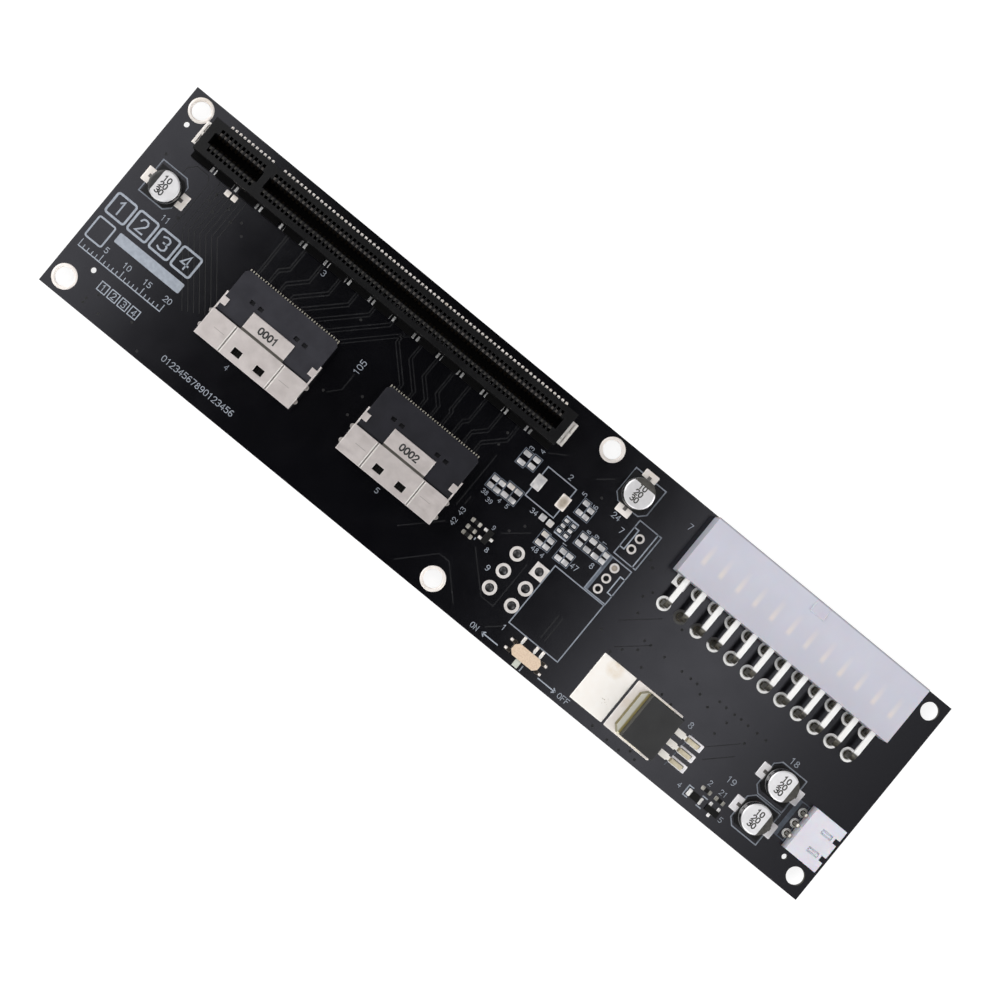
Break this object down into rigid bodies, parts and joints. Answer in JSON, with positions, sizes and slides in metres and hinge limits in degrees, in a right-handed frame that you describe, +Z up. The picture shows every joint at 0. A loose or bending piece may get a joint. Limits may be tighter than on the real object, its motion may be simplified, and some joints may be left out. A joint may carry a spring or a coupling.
{
  "type": "pcie adapter board",
  "caption": "Long black circuit board that joins right-angle cable ports to an upright expansion-card slot, with a pale power inlet, side header, capacitors and a slide switch.",
  "frame": {"origin": "centre of the board's underside, pins and solder reach below it", "axes": "+X along the board towards the side header, +Y towards the edge with the card slot and power inlet, +Z up through the component side"},
  "size_m": [0.1886, 0.0478, 0.0146],
  "materials": {
    "tinned_copper": "tinned copper, uneven",
    "cap_base_plastic": "moulded black",
    "can_aluminium": "drawn aluminium",
    "pin_metal": "tinned",
    "board_laminate": "black solder mask",
    "mould_compound": "moulded black",
    "solder": "solder",
    "contact_metal": "plated contact",
    "port_plastic": "moulded dark grey",
    "port_shell_metal": "bare sheet metal",
    "pale_nylon": "translucent moulded nylon",
    "resistor_ceramic": "glazed chip",
    "tinned_steel": "tinned",
    "slot_plastic": "moulded black",
    "switch_plastic": "moulded black",
    "switch_cover_metal": "plated sheet metal",
    "lever_plastic": "moulded pale grey",
    "tab_metal": "plated copper tab"
  },
  "bodies": {
    "board": {"bare_pads": "tinned_copper", "capacitor_1_base": "cap_base_plastic", "capacitor_1_can": "can_aluminium", "capacitor_1_leads": "pin_metal", "capacitor_2_base": "cap_base_plastic", "capacitor_2_can": "can_aluminium", "capacitor_2_leads": "pin_metal", "capacitor_3_base": "cap_base_plastic", "capacitor_3_can": "can_aluminium", "capacitor_3_leads": "pin_metal", "capacitor_4_base": "cap_base_plastic", "capacitor_4_can": "can_aluminium", "capacitor_4_leads": "pin_metal", "circuit_board": "board_laminate", "component_pads": "tinned_copper", "diode_body": "mould_compound", "diode_ends": "pin_metal", "hole_plugs": "solder", "mounting_rings": "tinned_copper", "plated_holes": "tinned_copper", "port_1_contacts": "contact_metal", "port_1_housing": "port_plastic", "port_1_shell": "port_shell_metal", "port_2_contacts": "contact_metal", "port_2_housing": "port_plastic", "port_2_shell": "port_shell_metal", "power_inlet_housing": "pale_nylon", "power_inlet_lower_pins": "pin_metal", "power_inlet_upper_pins": "pin_metal", "resistor_bodies": "resistor_ceramic", "resistor_ends": "pin_metal", "side_header_housing": "pale_nylon", "side_header_pins": "pin_metal", "slot_contacts_far": "contact_metal", "slot_contacts_near": "contact_metal", "slot_hold_downs": "tinned_steel", "slot_housing": "slot_plastic", "small_transistor_bodies": "mould_compound", "small_transistor_leads": "pin_metal", "solder_joints": "solder", "switch_body": "switch_plastic", "switch_cover": "switch_cover_metal", "switch_terminals": "pin_metal", "transistor_body": "mould_compound", "transistor_leads": "pin_metal", "transistor_tab": "tab_metal"},
    "lever": {"switch_lever": "lever_plastic", "switch_wiper": "contact_metal"}
  },
  "joints": [
    {"name": "switch_slide", "type": "slide", "parent": "board", "child": "lever", "axis": [1, 0, 0], "range_m": [0, 0.0013]}
  ]
}
